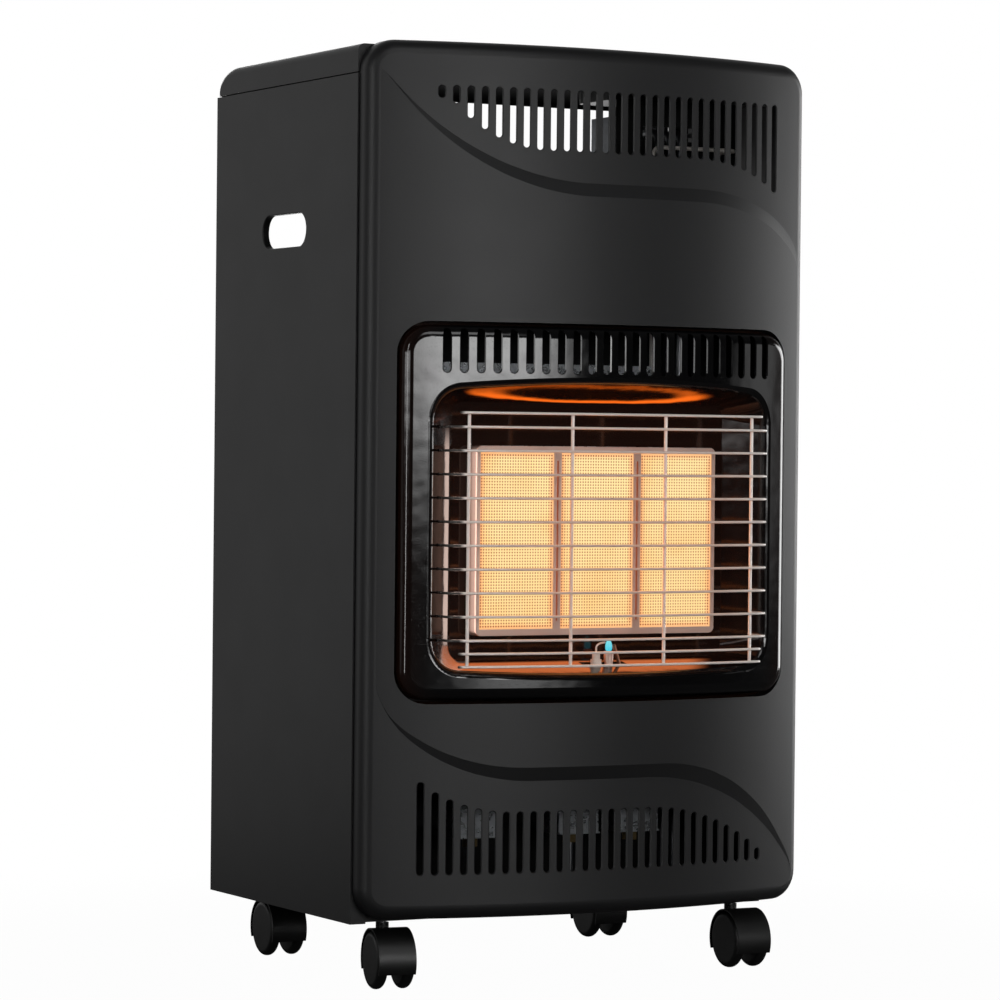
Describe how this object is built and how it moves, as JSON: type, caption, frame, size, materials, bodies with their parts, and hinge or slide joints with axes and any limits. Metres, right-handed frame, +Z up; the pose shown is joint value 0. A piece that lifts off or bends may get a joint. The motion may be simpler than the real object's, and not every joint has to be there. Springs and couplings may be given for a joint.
{
  "type": "portable gas cabinet heater",
  "caption": "Upright cabinet heater on twin-wheel castors with a bowed slotted front, a recessed radiant burner behind a wire guard, and an open back for a gas cylinder.",
  "frame": {"origin": "on the floor, under the middle of the heater's outline", "axes": "+Z up; -Y towards the front that the fire faces; +X to the right as seen from the front"},
  "size_m": [0.42, 0.35, 0.7755],
  "materials": {
    "cabinet_paint": "charcoal satin powder coat",
    "black_paint": "matt black",
    "galvanised": "galvanised",
    "black_enamel": "gloss vitreous enamel",
    "bright_wire": "bright drawn wire",
    "stainless": "satin",
    "brass": "turned",
    "ceramic": "matt, unglazed",
    "copper": "bare",
    "aluminium_tube": "drawn",
    "silicone": "smooth",
    "black_plastic": "satin moulded",
    "red_plastic": "satin moulded",
    "die_cast": "cast",
    "zinc": "zinc plated",
    "aluminised": "aluminised sheet",
    "chrome": "polished"
  },
  "bodies": {
    "cabinet": {"base_tray": "cabinet_paint", "bulkhead": "black_paint", "burner_box_left": "aluminised", "burner_box_middle": "aluminised", "burner_box_right": "aluminised", "burner_frame": "stainless", "burner_rail": "black_paint", "castor_front_left_stem": "chrome", "castor_front_right_stem": "chrome", "castor_nuts": "zinc", "castor_rear_left_stem": "chrome", "castor_rear_right_stem": "chrome", "control_panel": "black_plastic", "cover_screws": "zinc", "fire_surround": "black_enamel", "front_panel": "cabinet_paint", "gas_inlet": "brass", "gas_pipe_left": "aluminium_tube", "gas_pipe_middle": "aluminium_tube", "gas_pipe_right": "aluminium_tube", "gas_valve": "die_cast", "guard_bars": "bright_wire", "guard_uprights": "bright_wire", "heat_shield": "galvanised", "igniter_body": "black_plastic", "ignition_lead": "silicone", "injector_holders": "galvanised", "injectors": "brass", "panel_screws": "zinc", "pilot_burner": "stainless", "pilot_pipe": "aluminium_tube", "pilot_plate": "galvanised", "plaque_left": "ceramic", "plaque_middle": "ceramic", "plaque_right": "ceramic", "reflector_plate": "black_enamel", "side_panel_left": "cabinet_paint", "side_panel_right": "cabinet_paint", "spark_electrode": "ceramic", "thermocouple": "copper", "top_cover": "cabinet_paint", "tray_screws": "zinc", "valve_bracket": "black_paint"},
    "castor_front_left": {"castor_front_left_hood": "black_plastic", "castor_front_left_axle": "zinc"},
    "castor_front_left_wheel_pair": {"castor_front_left_wheels": "black_plastic"},
    "castor_front_right": {"castor_front_right_hood": "black_plastic", "castor_front_right_axle": "zinc"},
    "castor_front_right_wheel_pair": {"castor_front_right_wheels": "black_plastic"},
    "castor_rear_left": {"castor_rear_left_hood": "black_plastic", "castor_rear_left_axle": "zinc"},
    "castor_rear_left_wheel_pair": {"castor_rear_left_wheels": "black_plastic"},
    "castor_rear_right": {"castor_rear_right_hood": "black_plastic", "castor_rear_right_axle": "zinc"},
    "castor_rear_right_wheel_pair": {"castor_rear_right_wheels": "black_plastic"},
    "valve_plunger": {"valve_plunger": "brass"},
    "control_knob": {"control_knob": "black_plastic", "valve_spindle": "brass"},
    "igniter_button": {"igniter_button": "red_plastic"}
  },
  "joints": [
    {"name": "castor_front_left_swivel", "type": "hinge", "parent": "cabinet", "child": "castor_front_left", "pos_m": [-0.168, -0.0765, 0.05], "axis": [0, 0, 1], "continuous": true},
    {"name": "castor_front_left_roll", "type": "hinge", "parent": "castor_front_left", "child": "castor_front_left_wheel_pair", "pos_m": [-0.17082, -0.09428, 0.024], "axis": [0.9877, -0.1564, 0], "continuous": true},
    {"name": "castor_front_right_swivel", "type": "hinge", "parent": "cabinet", "child": "castor_front_right", "pos_m": [0.168, -0.0765, 0.05], "axis": [0, 0, 1], "continuous": true},
    {"name": "castor_front_right_roll", "type": "hinge", "parent": "castor_front_right", "child": "castor_front_right_wheel_pair", "pos_m": [0.16706, -0.09448, 0.024], "axis": [0.9986, -0.0523, 0], "continuous": true},
    {"name": "castor_rear_left_swivel", "type": "hinge", "parent": "cabinet", "child": "castor_rear_left", "pos_m": [-0.1605, 0.156, 0.05], "axis": [0, 0, 1], "continuous": true},
    {"name": "castor_rear_left_roll", "type": "hinge", "parent": "castor_rear_left", "child": "castor_rear_left_wheel_pair", "pos_m": [-0.16129, 0.13802, 0.024], "axis": [0.999, -0.0436, 0], "continuous": true},
    {"name": "castor_rear_right_swivel", "type": "hinge", "parent": "cabinet", "child": "castor_rear_right", "pos_m": [0.1605, 0.156, 0.05], "axis": [0, 0, 1], "continuous": true},
    {"name": "castor_rear_right_roll", "type": "hinge", "parent": "castor_rear_right", "child": "castor_rear_right_wheel_pair", "pos_m": [0.15987, 0.13801, 0.024], "axis": [0.9994, -0.0349, 0], "continuous": true},
    {"name": "knob_push", "type": "slide", "parent": "cabinet", "child": "valve_plunger", "axis": [0, 0, -1], "range_m": [0, 0.004], "stiffness_N_per_m": 1500, "springref_m": -0.002},
    {"name": "knob_turn", "type": "hinge", "parent": "valve_plunger", "child": "control_knob", "pos_m": [0.124, 0.035, 0.76], "axis": [0, 0, 1], "range_deg": [0, 240]},
    {"name": "igniter_press", "type": "slide", "parent": "cabinet", "child": "igniter_button", "axis": [0, 0, -1], "range_m": [0, 0.006], "stiffness_N_per_m": 800, "springref_m": -0.003}
  ]
}
